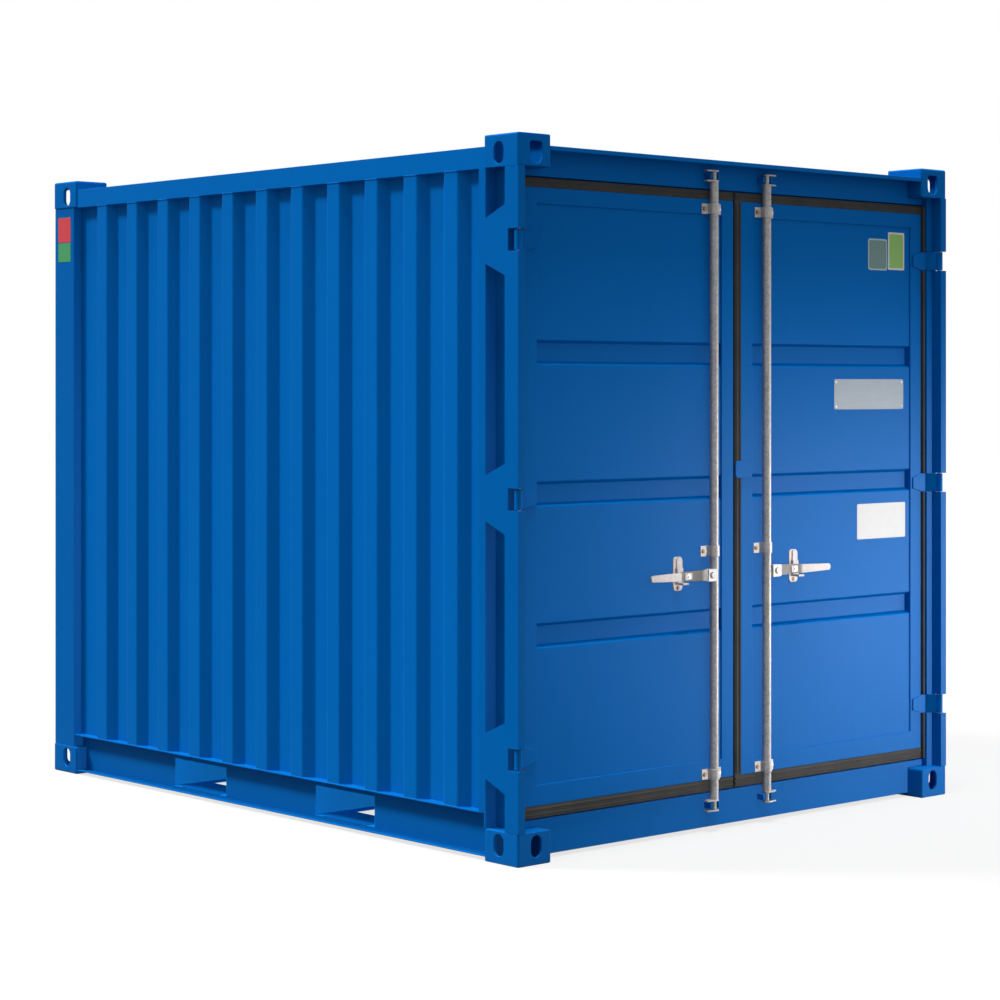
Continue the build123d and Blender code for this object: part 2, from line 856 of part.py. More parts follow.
# Brackets that hold each rod against the leaf
for hand, side in hands.items():
    with BuildPart() as brackets:
        for z in bracket_heights:
            seat_y = panel_y if panel_bottom < z < panel_top else leaf_y
            with BuildSketch(Plane.XY.offset(z - bracket_tall / 2)):
                with Locations((side * rod_x, seat_y - bracket_foot / 2)):
                    Rectangle(2 * bracket_half, bracket_foot)
                grip = rod_radius + rod_clearance + bracket_wall
                with Locations((side * rod_x, (seat_y + rod_y) / 2)):
                    Rectangle(2 * grip, seat_y - rod_y)
                with Locations((side * rod_x, rod_y)):
                    Circle(grip)
                    Circle(rod_radius + rod_clearance, mode=Mode.SUBTRACT)
                with Locations((side * rod_x, (seat_y + rod_y) / 2)):
                    Rectangle(2 * (rod_radius + rod_clearance), seat_y - rod_y, mode=Mode.SUBTRACT)
                with Locations((side * rod_x, seat_y + grip / 2)):
                    Rectangle(2 * grip, grip, mode=Mode.SUBTRACT)
            extrude(amount=bracket_tall)
    brackets.part.label = f"{hand}_rod_brackets"
    export_step(brackets.part, f"parts/{hand}_rod_brackets.step")

# Handles: tapered levers on the pivot bolts
for hand, side in hands.items():
    pivot_x = side * (rod_x + pivot_out)
    tip_x = pivot_x + side * lever_long
    with BuildPart() as handle:
        with BuildSketch(Plane.XZ.offset(-lever_back - lever_joggle)):
            with BuildLine():
                Polyline(
                    (pivot_x - side * lever_past, handle_z - lever_root / 2),
                    (pivot_x - side * lever_past, handle_z + lever_root / 2),
                    (tip_x, handle_z + lever_tip / 2),
                    (tip_x, handle_z - lever_tip / 2),
                    close=True,
                )
            make_face()
            fillet(vertices(), radius=lever_round)
            with Locations((pivot_x, handle_z)):
                Circle(pivot_radius + pivot_clearance, mode=Mode.SUBTRACT)
        extrude(amount=lever_thick + lever_joggle)
        bends = [
            (-lever_past, 0),
            (lever_flat, 0),
            (lever_flat + lever_slope, lever_joggle),
            (lever_low_end, lever_joggle),
            (lever_low_end + lever_slope, 0),
            (lever_long, 0),
        ]
        band = bends + [(u, v + lever_thick) for u, v in reversed(bends)]
        with BuildSketch(Plane.XY.offset(handle_z - lever_root / 2)):
            with BuildLine():
                Polyline(*[(pivot_x + side * u, lever_front + v) for u, v in band], close=True)
            make_face()
        extrude(amount=lever_root, mode=Mode.INTERSECT)
    handle.part.label = f"{hand}_handle"
    export_step(handle.part, f"parts/{hand}_handle.step")

# Handle retainers: a plate on the panel, a stand-off behind the lever and a shelf under it
retainer_share = (retainer_x - rod_x - pivot_out) / lever_long
lever_half = (lever_root + (lever_tip - lever_root) * retainer_share) / 2
for hand, side in hands.items():
    shelf_top = handle_z - lever_half - retainer_gap
    retainer_z = handle_z + retainer_lift
    with BuildPart() as retainer:
        with BuildSketch(Plane.XZ.offset(-panel_y)):
            with Locations((side * retainer_x, retainer_z)):
                RectangleRounded(retainer_wide, retainer_tall, retainer_wide * retainer_round_share)
        extrude(amount=retainer_plate)
        block(
            (side * retainer_x - stand_off_wide / 2, lever_back + lever_joggle + retainer_gap, shelf_top - shelf_thick),
            (side * retainer_x + stand_off_wide / 2, panel_y, shelf_top + stand_off_tall),
        )
        block(
            (side * retainer_x - stand_off_wide / 2, front + shelf_front, shelf_top - shelf_thick),
            (side * retainer_x + stand_off_wide / 2, panel_y, shelf_top),
        )
    retainer.part.label = f"{hand}_handle_retainer"
    export_step(retainer.part, f"parts/{hand}_handle_retainer.step")

# Tab on the right leaf over the centre gasket
with BuildPart() as tab:
    tab_outer = -leaf_centre + gasket_centre_gap
    with BuildSketch(Plane.XZ.offset(-leaf_y)):
        with Locations(((tab_outer + tab_inner) / 2, tab_z)):
            RectangleRounded(tab_inner - tab_outer, tab_tall, tab_tall * tab_round_share)
    extrude(amount=tab_thick)
tab.part.label = "overlap_tab"
export_step(tab.part, "parts/overlap_tab.step")
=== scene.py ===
import math

import bmesh
import bpy
import numpy as np
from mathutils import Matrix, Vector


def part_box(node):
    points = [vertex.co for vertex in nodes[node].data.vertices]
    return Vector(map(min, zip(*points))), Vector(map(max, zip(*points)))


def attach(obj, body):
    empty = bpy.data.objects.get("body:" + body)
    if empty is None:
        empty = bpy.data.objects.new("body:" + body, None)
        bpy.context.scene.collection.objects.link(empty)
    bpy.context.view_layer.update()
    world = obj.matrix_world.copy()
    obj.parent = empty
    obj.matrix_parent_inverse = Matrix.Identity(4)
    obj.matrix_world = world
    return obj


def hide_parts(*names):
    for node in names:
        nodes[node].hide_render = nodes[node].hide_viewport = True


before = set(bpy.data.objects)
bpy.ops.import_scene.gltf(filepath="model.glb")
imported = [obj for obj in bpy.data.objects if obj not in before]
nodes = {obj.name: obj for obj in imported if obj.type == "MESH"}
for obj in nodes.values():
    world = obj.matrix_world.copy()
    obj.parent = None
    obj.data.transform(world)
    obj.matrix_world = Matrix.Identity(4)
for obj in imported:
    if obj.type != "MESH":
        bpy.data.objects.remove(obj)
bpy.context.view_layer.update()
scene = bpy.context.scene
scene.view_settings.view_transform = "Standard"
print("frame loaded:", len(nodes), "nodes")

endY = -1.4955      # plane of the door end
sideX = 1.219       # plane of each long side
rodX = 0.151        # axis of each lock rod, from the middle
pivotX = 0.186      # pivot of each handle, from the middle
retainerX = 0.331   # middle of each handle retainer
handleZ = 0.978     # height of the handles
hands = (("left", -1), ("right", 1))
acrossX, alongY, upZ = (1, 0, 0), (0, 1, 0), (0, 0, 1)
doorward, leftward = (0, -1, 0), (-1, 0, 0)
doorFace = (acrossX, upZ, doorward)     # across, up and outward on the door end
sideFace = (alongY, upZ, leftward)      # the same on the left side
pockets = ("front_fork_pocket", "rear_fork_pocket")


# Inputs come with their first values: a tuple makes a colour socket, a number a plain one.
def newGroup(name, inputs, outputs):
    tree = bpy.data.node_groups.new(name, "ShaderNodeTree")
    for label, value in inputs.items():
        kind = "NodeSocketColor" if isinstance(value, tuple) else "NodeSocketFloat"
        socket = tree.interface.new_socket(name=label, in_out="INPUT", socket_type=kind)
        socket.default_value = value
    for label in outputs:
        kind = "NodeSocketColor" if label == "Colour" else "NodeSocketFloat"
        tree.interface.new_socket(name=label, in_out="OUTPUT", socket_type=kind)
    return tree, tree.nodes.new("NodeGroupInput"), tree.nodes.new("NodeGroupOutput")


def addNode(tree, kind, links=None, **values):
    node = tree.nodes.new(kind)
    for key, value in values.items():
        if hasattr(node, key):
            setattr(node, key, value)
        else:
            node.inputs[key.replace("_", " ")].default_value = value
    for socket, source in (links or {}).items():
        tree.links.new(source, node.inputs[socket])
    return node


def mathNode(tree, operation, first, second=None, clamp=False):
    node = tree.nodes.new("ShaderNodeMath")
    node.operation = operation
    node.use_clamp = clamp
    for index, value in enumerate((first, second)):
        if value is None:
            continue
        if isinstance(value, (int, float)):
            node.inputs[index].default_value = value
        else:
            tree.links.new(value, node.inputs[index])
    return node.outputs[0]


def plus(tree, first, second, clamp=False):
    return mathNode(tree, "ADD", first, second, clamp)


def minus(tree, first, second):
    return mathNode(tree, "SUBTRACT", first, second)


def times(tree, first, second, clamp=False):
    return mathNode(tree, "MULTIPLY", first, second, clamp)


def mixColour(tree, factor, first, second, blend="MIX"):
    node = tree.nodes.new("ShaderNodeMix")
    node.data_type = "RGBA"
    node.blend_type = blend
    for name, value in (("Factor", factor), ("A", first), ("B", second)):
        socket = [s for s in node.inputs if s.name == name and s.enabled][0]
        if isinstance(value, (int, float, tuple)):
            socket.default_value = value
        else:
            tree.links.new(value, socket)
    return [s for s in node.outputs if s.enabled][0]


def ramp(tree, source, low, high):
    node = tree.nodes.new("ShaderNodeMapRange")
    node.inputs["From Min"].default_value = low
    node.inputs["From Max"].default_value = high
    tree.links.new(source, node.inputs["Value"])
    return node.outputs["Result"]


def objectPlace(tree, scale=None):
    place = addNode(tree, "ShaderNodeTexCoord").outputs["Object"]
    if scale is None:
        return place
    stretch = addNode(tree, "ShaderNodeMapping", {"Vector": place})
    stretch.inputs["Scale"].default_value = scale
    return stretch.outputs[0]


def axisOf(tree, place, axis):
    return addNode(tree, "ShaderNodeSeparateXYZ", {"Vector": place}).outputs[axis]


# In the settings a noise is given as scale, detail, roughness and distortion, as far as needed.
def noise(tree, place, scale, detail=4.0, roughness=0.5, distortion=0.0):
    node = addNode(tree, "ShaderNodeTexNoise", {"Vector": place}, Scale=scale, Detail=detail,
                   Roughness=roughness, Distortion=distortion)
    return node.outputs["Fac"]


# A value between 0 and 1, shifted to swing evenly about zero.
def swing(tree, value):
    return minus(tree, value, 0.5)


def tinted(tree, colour, tone):
    grey = addNode(tree, "ShaderNodeCombineXYZ", {0: tone, 1: tone, 2: tone}).outputs[0]
    return mixColour(tree, 1.0, colour, grey, "MULTIPLY")


surfaceOutputs = ("Colour", "Roughness", "Height")
paintGrain = {"cloud": (1.7, 5.0, 0.6), "cloudRough": 0.14, "peel": (420.0, 2.0),
              "streak": (1.0,), "streakStretch": (26, 26, 1.1), "streakRange": (0.5, 0.85),
              "streakShare": 0.35, "speck": (95.0, 3.0), "speckRange": (0.25, 0.75),
              "dustTop": 0.6, "dustPower": 2.0, "dustColour": (0.16, 0.155, 0.15, 1), "dustRough": 0.5}


# Paint film: broad cloudy shifts, faint rain streaks, fine orange peel, and dust near the ground.
def makePaintGroup():
    look = paintGrain
    tree, given, out = newGroup(
        "paintFilm", {"Colour": (0.0, 0.1, 0.4, 1), "Cloud": 0.12, "Dust": 0.12, "Gloss": 0.32, "Peel": 0.3},
        surfaceOutputs)
    place = objectPlace(tree)
    cloud = swing(tree, noise(tree, place, *look["cloud"]))
    streakPlace = objectPlace(tree, look["streakStretch"])
    streak = ramp(tree, noise(tree, streakPlace, *look["streak"]), *look["streakRange"])
    peel = noise(tree, place, *look["peel"])
    speck = ramp(tree, noise(tree, place, *look["speck"]), *look["speckRange"])
    depth = times(tree, axisOf(tree, place, "Z"), -1.0)
    low = mathNode(tree, "POWER", ramp(tree, depth, -look["dustTop"], 0.0), look["dustPower"])
    tone = plus(tree, times(tree, cloud, given.outputs["Cloud"]), 1.0)
    streakTone = times(tree, given.outputs["Cloud"], look["streakShare"])
    tone = minus(tree, tone, times(tree, streak, streakTone))
    dirt = times(tree, times(tree, low, speck), given.outputs["Dust"], True)
    colour = mixColour(tree, dirt, tinted(tree, given.outputs["Colour"], tone), look["dustColour"])
    rough = plus(tree, given.outputs["Gloss"], times(tree, cloud, look["cloudRough"]))
    rough = plus(tree, rough, times(tree, dirt, look["dustRough"]), True)
    tree.links.new(colour, out.inputs["Colour"])
    tree.links.new(rough, out.inputs["Roughness"])
    tree.links.new(times(tree, peel, given.outputs["Peel"]), out.inputs["Height"])
    return tree


wearGrain = {"radius": 0.006, "samples": 4, "turnRange": (0.02, 0.16), "chips": (70.0, 6.0, 0.65),
             "chipRange": (0.46, 0.62)}


# Edge wear: where the rounded normal leaves the true one there is an edge, broken up by noise.
def makeWearGroup():
    look = wearGrain
    tree, given, out = newGroup("edgeWear", {"Amount": 0.5}, ("Mask",))
    rounded = addNode(tree, "ShaderNodeBevel", Radius=look["radius"], samples=look["samples"])
    trueNormal = addNode(tree, "ShaderNodeNewGeometry").outputs["Normal"]
    normals = {0: rounded.outputs["Normal"], 1: trueNormal}
    agree = addNode(tree, "ShaderNodeVectorMath", normals, operation="DOT_PRODUCT").outputs["Value"]
    edge = ramp(tree, minus(tree, 1.0, agree), *look["turnRange"])
    chips = ramp(tree, noise(tree, objectPlace(tree), *look["chips"]), *look["chipRange"])
    mask = times(tree, times(tree, edge, chips), given.outputs["Amount"], True)
    tree.links.new(mask, out.inputs["Mask"])
    return tree


zincGrain = {"patch": (16.0, 6.0), "patchTone": 0.32, "patchRough": 0.22, "tone": 0.84, "rough": 0.36,
             "streak": (1.0, 4.0), "streakStretch": (150, 150, 5),
             "speck": (160.0, 4.0), "speckRange": (0.62, 0.72), "speckTone": 0.3,
             "grain": (700.0, 2.0), "flakeHeight": 0.4}


# Plated steel: zinc flakes from a cell pattern, drawn streaks along the height, dull patches and dark specks.
def makeZincGroup():
    look = zincGrain
    tree, given, out = newGroup(
        "zincFlakes", {"Colour": (0.4, 0.4, 0.4, 1), "Flake": 0.25, "Scale": 90.0, "Streak": 0.2},
        surfaceOutputs)
    place = objectPlace(tree)
    cells = addNode(tree, "ShaderNodeTexVoronoi", {"Vector": place, "Scale": given.outputs["Scale"]})
    cell = addNode(tree, "ShaderNodeSeparateColor", {"Color": cells.outputs["Color"]}).outputs[0]
    patch = noise(tree, place, *look["patch"])
    streak = noise(tree, objectPlace(tree, look["streakStretch"]), *look["streak"])
    speck = ramp(tree, noise(tree, place, *look["speck"]), *look["speckRange"])
    grain = noise(tree, place, *look["grain"])
    tone = times(tree, swing(tree, cell), given.outputs["Flake"])
    tone = plus(tree, tone, plus(tree, look["tone"], times(tree, patch, look["patchTone"])))
    tone = plus(tree, tone, times(tree, swing(tree, streak), given.outputs["Streak"]))
    tone = times(tree, tone, minus(tree, 1.0, times(tree, speck, look["speckTone"])))
    rough = plus(tree, look["rough"], times(tree, patch, look["patchRough"]))
    tree.links.new(tinted(tree, given.outputs["Colour"], tone), out.inputs["Colour"])
    tree.links.new(rough, out.inputs["Roughness"])
    tree.links.new(plus(tree, grain, times(tree, cell, look["flakeHeight"])), out.inputs["Height"])
    return tree


filmGrain = {"patch": (22.0, 6.0), "patchRough": 0.2, "brush": (1.0, 3.0), "brushStretch": (6, 6, 420)}


# Thin plates and films: a slightly uneven colour, with fine level brush lines.
def makeFilmGroup():
    look = filmGrain
    tree, given, out = newGroup(
        "filmGrain", {"Colour": (0.8, 0.8, 0.8, 1), "Mottle": 0.1, "Gloss": 0.4}, surfaceOutputs)
    patch = swing(tree, noise(tree, objectPlace(tree), *look["patch"]))
    brushed = swing(tree, noise(tree, objectPlace(tree, look["brushStretch"]), *look["brush"]))
    tone = plus(tree, 1.0, times(tree, plus(tree, patch, brushed), given.outputs["Mottle"]))
    rough = plus(tree, given.outputs["Gloss"], times(tree, patch, look["patchRough"]), True)
    tree.links.new(tinted(tree, given.outputs["Colour"], tone), out.inputs["Colour"])
    tree.links.new(rough, out.inputs["Roughness"])
    tree.links.new(brushed, out.inputs["Height"])
    return tree


paintGroup = makePaintGroup()
wearGroup = makeWearGroup()
zincGroup = makeZincGroup()
filmGroup = makeFilmGroup()


def newMaterial(name):
    material = bpy.data.materials.new(name)
    material.use_nodes = True
    tree = material.node_tree
    return material, tree, tree.nodes["Principled BSDF"]


def placeGroup(tree, group, values):
    node = tree.nodes.new("ShaderNodeGroup")
    node.node_tree = group
    for key, value in values.items():
        node.inputs[key].default_value = value
    return node


# In the settings a relief is given as the bump's strength and its depth in metres.
def addRelief(tree, bsdf, height, relief):
    strength, depth = relief
    bump = addNode(tree, "ShaderNodeBump", {"Height": height}, Strength=strength, Distance=depth)
    tree.links.new(bump.outputs["Normal"], bsdf.inputs["Normal"])


# A material that takes colour, roughness and relief from one group.
# Where worn gives an amount and a colour, that colour shows along edges.
# Where a recess shade is given as two levels on Y and a share, the surface darkens by it from one to the
# other: painted shade in a recessed part.
def groupMaterial(name, group, values, relief, worn=None, recessShade=None, **shader):
    material, tree, bsdf = newMaterial(name)
    node = placeGroup(tree, group, values)
    colour = node.outputs["Colour"]
    if worn:
        amount, wornColour = worn
        mask = placeGroup(tree, wearGroup, {"Amount": amount}).outputs["Mask"]
        colour = mixColour(tree, mask, colour, wornColour)
    if recessShade:
        start, end, share = recessShade
        level = axisOf(tree, objectPlace(tree), "Y")
        shade = times(tree, ramp(tree, level, start, end), share)
        colour = tinted(tree, colour, minus(tree, 1.0, shade))
    tree.links.new(colour, bsdf.inputs["Base Color"])
    tree.links.new(node.outputs["Roughness"], bsdf.inputs["Roughness"])
    addRelief(tree, bsdf, node.outputs["Height"], relief)
    for key, value in shader.items():
        bsdf.inputs[key.replace("_", " ")].default_value = value
    return material


# The pocket colour is a lighter copy of the blue, as painted light inside the fork pockets.
paintLook = {"blue": (0.0, 0.112, 0.40, 1), "rail": (0.0, 0.099, 0.352, 1), "pocket": (0.0, 0.22, 0.64, 1),
             # The roof colour is a darker copy of the blue, as painted shade against the strong top light.
             "roof": (0.0, 0.090, 0.318, 1), "cast": (0.0, 0.104, 0.372, 1), "worn": (0.05, 0.16, 0.42, 1),
             "wear": 0.35, "relief": (0.12, 0.0004), "castRelief": (0.4, 0.0012), "specular": 0.013}
# The rail colour is a darker copy of the blue, as painted shade on the posts, bottom rails and corner ledges.
bluePaint, railShadedPaint, pocketLitPaint, roofShadedPaint = [
    groupMaterial(
        name + "Paint", paintGroup,
        {"Colour": paintLook[name], "Cloud": cloud, "Dust": 0.02, "Gloss": 0.36, "Peel": 0.5},
        paintLook["relief"], Specular_IOR_Level=paintLook["specular"])
    for name, cloud in (("blue", 0.10), ("rail", 0.12), ("pocket", 0.12), ("roof", 0.12))]
castPaint = groupMaterial(
    "castPaint", paintGroup,
    {"Colour": paintLook["cast"], "Cloud": 0.16, "Dust": 0.03, "Gloss": 0.46, "Peel": 1.0},
    paintLook["castRelief"], (paintLook["wear"], paintLook["worn"]), Specular_IOR_Level=paintLook["specular"])

zincLook = {"rod": (0.310, 0.300, 0.298, 1), "bracket": (0.36, 0.345, 0.342, 1),
            "handle": (0.43, 0.395, 0.385, 1), "bolt": (0.62, 0.60, 0.58, 1),
            "shadedBrown": (0.25, 0.155, 0.10, 1), "washer": (0.10, 0.095, 0.10, 1),
            "relief": (0.1, 0.0003), "handleRelief": (0.08, 0.0003), "boltRelief": (0.05, 0.0002),
            "handleRecessShade": (endY + 0.031, endY + 0.037, 0.72), "handleSpecular": 0.12}
rodSteel = groupMaterial(
    "rodSteel", zincGroup, {"Colour": zincLook["rod"], "Flake": 0.34, "Scale": 110.0, "Streak": 0.5},
    zincLook["relief"], Metallic=0.35)
bracketSteel = groupMaterial(
    "bracketSteel", zincGroup, {"Colour": zincLook["bracket"], "Flake": 0.26, "Scale": 130.0, "Streak": 0.2},
    zincLook["relief"], Metallic=0.35)
# The handle darkens towards its recessed joggle, as painted shade.
handleSteel = groupMaterial(
    "handleSteel", zincGroup, {"Colour": zincLook["handle"], "Flake": 0.16, "Scale": 150.0, "Streak": 0.1},
    zincLook["handleRelief"], recessShade=zincLook["handleRecessShade"], Metallic=0.1,
    Specular_IOR_Level=zincLook["handleSpecular"])
retainerSteel = groupMaterial(
    "retainerSteel", zincGroup, {"Colour": zincLook["handle"], "Flake": 0.2, "Scale": 150.0, "Streak": 0.15},
    zincLook["handleRelief"], Metallic=0.1, Specular_IOR_Level=zincLook["handleSpecular"])
boltSteel = groupMaterial(
    "boltSteel", zincGroup, {"Colour": zincLook["bolt"], "Flake": 0.1, "Scale": 200.0, "Streak": 0.1},
    zincLook["boltRelief"], Metallic=0.5)
# The first is a darker brown copy of the bolt steel, as painted shade on some bolts.
boltShadedBrown, washerSteel = [
    groupMaterial(name, zincGroup, {"Colour": zincLook[tone], "Flake": 0.3, "Scale": 240.0, "Streak": 0.1},
                  zincLook["relief"], Metallic=0.2)
    for name, tone in (("boltShadedBrown", "shadedBrown"), ("washerSteel", "washer"))]

plateLook = {"metal": (0.235, 0.28, 0.327, 1), "white": (0.60, 0.60, 0.60, 1),
             "teal": (0.115, 0.205, 0.195, 1), "rim": (0.33, 0.45, 0.44, 1), "green": (0.21, 0.42, 0.10, 1),
             "red": (0.50, 0.035, 0.045, 1), "leaf": (0.035, 0.25, 0.085, 1),
             "metalRelief": (0.1, 0.0002), "filmRelief": (0.04, 0.0001),
             "specular": 0.2, "whiteSpecular": 0.03}
plateMetal = groupMaterial(
    "plateMetal", filmGroup, {"Colour": plateLook["metal"], "Mottle": 0.16, "Gloss": 0.42},
    plateLook["metalRelief"], Specular_IOR_Level=plateLook["specular"])
filmWhite, filmTeal, filmRim, filmGreen, filmRed, filmLeaf = [
    groupMaterial(
        "film" + name.capitalize(), filmGroup, {"Colour": plateLook[name], "Mottle": 0.1, "Gloss": 0.4},
        plateLook["filmRelief"],
        Specular_IOR_Level=plateLook["whiteSpecular" if name == "white" else "specular"])
    for name in ("white", "teal", "rim", "green", "red", "leaf")]

rubberLook = {"dark": (0.027, 0.026, 0.025, 1), "chalky": (0.044, 0.041, 0.039, 1), "chalk": (9.0, 6.0),
              "chalkRange": (0.35, 0.8), "grain": (260.0, 4.0), "rough": 0.6, "grainRough": 0.25,
              "relief": (0.25, 0.0006), "specular": 0.15}


# Rubber: chalky patches over dark brown-black, with a fine moulded grain.
def makeRubber():
    look = rubberLook
    material, tree, bsdf = newMaterial("doorRubber")
    place = objectPlace(tree)
    grain = noise(tree, place, *look["grain"])
    chalk = ramp(tree, noise(tree, place, *look["chalk"]), *look["chalkRange"])
    tree.links.new(mixColour(tree, chalk, look["dark"], look["chalky"]), bsdf.inputs["Base Color"])
    rough = plus(tree, look["rough"], times(tree, grain, look["grainRough"]))
    tree.links.new(rough, bsdf.inputs["Roughness"])
    addRelief(tree, bsdf, grain, look["relief"])
    bsdf.inputs["Specular IOR Level"].default_value = look["specular"]
    return material


plyLook = {"grain": (1.0, 8.0, 0.65, 0.6), "grainStretch": (34, 1.6, 34), "blotch": (2.2,),
           "blotchShare": 0.4, "blotched": (0.30, 0.2, 0.12, 1),
           "dark": (0.17, 0.085, 0.035, 1), "light": (0.40, 0.235, 0.11, 1),
           "seam": (0.03, 0.02, 0.012, 1), "seamRange": (0.4945, 0.4985), "firstSeam": -6.0,
           "sheetWide": 0.58, "rough": 0.5, "grainRough": 0.25, "relief": (0.3, 0.002)}


# Plywood: grain along the container, dull blotches, and a dark seam where sheets of one width butt.
def makePlywood():
    look = plyLook
    material, tree, bsdf = newMaterial("plywood")
    place = objectPlace(tree)
    grain = noise(tree, objectPlace(tree, look["grainStretch"]), *look["grain"])
    blotch = noise(tree, place, *look["blotch"])
    fromSeam = plus(tree, axisOf(tree, place, "X"), -look["firstSeam"])
    cycle = mathNode(tree, "FRACT", mathNode(tree, "DIVIDE", fromSeam, look["sheetWide"]))
    seam = ramp(tree, mathNode(tree, "ABSOLUTE", swing(tree, cycle)), *look["seamRange"])
    wood = mixColour(tree, grain, look["dark"], look["light"])
    wood = mixColour(tree, times(tree, blotch, look["blotchShare"]), wood, look["blotched"])
    tree.links.new(mixColour(tree, seam, wood, look["seam"]), bsdf.inputs["Base Color"])
    rough = plus(tree, look["rough"], times(tree, grain, look["grainRough"]))
    tree.links.new(rough, bsdf.inputs["Roughness"])
    addRelief(tree, bsdf, minus(tree, grain, seam), look["relief"])
    return material


doorRubber = makeRubber()
plywood = makePlywood()
print("materials ready")

# Points nearer than the merge distances become one, and faces within the flat angle in degrees are joined.
meshRules = {"pieceMerge": 1e-6, "copyMerge": 2e-6, "flatAngle": 0.5, "faceWeight": 100}


# Normals follow the larger face at each corner, so flat faces shade flat and the bends carry the turn.
def keepFlat(obj):
    flat = obj.modifiers.new("flatFaces", "WEIGHTED_NORMAL")
    flat.mode = "FACE_AREA"
    flat.weight = meshRules["faceWeight"]
    flat.keep_sharp = True


def smoothObject(name, mesh, material):
    mesh.polygons.foreach_set("use_smooth", np.full(len(mesh.polygons), True))
    mesh.materials.clear()
    mesh.materials.append(material)
    obj = bpy.data.objects.new(name, mesh)
    scene.collection.objects.link(obj)
    return obj


def addPiece(name, arrays, material, body, sharp=40):
    points, faces = arrays
    mesh = bpy.data.meshes.new(name)
    mesh.from_pydata(np.asarray(points, float).tolist(), [], [list(face) for face in faces])
    mesh.validate()
    bm = bmesh.new()
    bm.from_mesh(mesh)
    bmesh.ops.remove_doubles(bm, verts=bm.verts, dist=meshRules["pieceMerge"])
    bmesh.ops.recalc_face_normals(bm, faces=bm.faces)
    bm.to_mesh(mesh)
    bm.free()
    obj = smoothObject(name, mesh, material)
    mesh.set_sharp_from_angle(angle=math.radians(sharp))
    keepFlat(obj)
    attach(obj, body)
    return obj


# All points in one array; each part's faces count on from the points before it.
def joinArrays(parts):
    starts = np.cumsum([0] + [len(points) for points, faces in parts[:-1]])
    joined = [[corner + start for corner in face]
              for (points, faces), start in zip(parts, starts) for face in faces]
    return np.concatenate([points for points, faces in parts]), joined


# Quads between neighbouring rings of points, each ring closed on itself.
# Where capped, a flat face closes each end.
def ringFaces(rings, sides, capped=True):
    ring = np.arange(rings - 1)[:, None] * sides
    side = np.arange(sides)[None, :]
    turned = (side + 1) % sides
    corners = [ring + side, ring + turned, ring + sides + turned, ring + sides + side]
    quads = np.stack(corners, -1).reshape(-1, 4).tolist()
    if not capped:
        return quads
    last = (rings - 1) * sides
    return quads + [list(range(sides)), list(range(last, last + sides))]


# Each inner corner becomes a parabola that leaves one run and meets the next.
# It starts and ends where an arc of the radius would touch, within the most share of the shorter run.
def roundedLine(corners, radius, steps=6, most=0.45):
    corners = np.asarray(corners, float)
    here = corners[1:-1]
    back, ahead = corners[:-2] - here, corners[2:] - here
    backLong = np.linalg.norm(back, axis=1, keepdims=True)
    aheadLong = np.linalg.norm(ahead, axis=1, keepdims=True)
    turn = np.arccos(np.clip((back * ahead).sum(1, keepdims=True) / (backLong * aheadLong), -1, 1))
    reach = np.minimum(radius / np.tan(turn / 2), most * np.minimum(backLong, aheadLong))
    share = np.linspace(0, 1, steps)[None, :, None]
    first = (here + back / backLong * reach)[:, None]
    last = (here + ahead / aheadLong * reach)[:, None]
    arcs = (1 - share) ** 2 * first + 2 * share * (1 - share) * here[:, None] + share ** 2 * last
    return np.concatenate([corners[:1], arcs.reshape(-1, 2), corners[-1:]])


# Unit normals of a line: each run's direction turned a quarter, averaged at the points.
def lineNormals(line):
    run = np.gradient(line, axis=0)
    run /= np.linalg.norm(run, axis=1, keepdims=True)
    return np.stack([-run[:, 1], run[:, 0]], 1)


# A bent sheet: the line and its copy moved along its normals make a loop, carried straight from start to end.
# place turns the loop's two measures and the way along into X, Y and Z.
def bentSheet(line, thick, place, start, end):
    loop = np.concatenate([line, (line + thick * lineNormals(line))[::-1]])
    count = len(loop)
    points = np.concatenate([place(loop[:, 0], loop[:, 1], np.full(count, way)) for way in (start, end)])
    faces = ringFaces(2, count, capped=False)
    step = np.arange(len(line) - 1)
    for base in (0, count):
        strip = [base + step, base + step + 1, base + count - 2 - step, base + count - 1 - step]
        faces += np.stack(strip, 1).tolist()
    return points, faces


# A round bead along a flat line: at each point a ring in the plane of the line's normal and the third axis.
def beadAlong(line, radius, place, level, sides=6):
    angle = np.linspace(0, 2 * np.pi, sides, endpoint=False)
    across = line[:, None, :] + radius * np.cos(angle)[None, :, None] * lineNormals(line)[:, None, :]
    up = level + radius * np.sin(angle)[None, :] + np.zeros((len(line), 1))
    points = place(across[..., 0].ravel(), across[..., 1].ravel(), up.ravel())
    return points, ringFaces(len(line), sides)


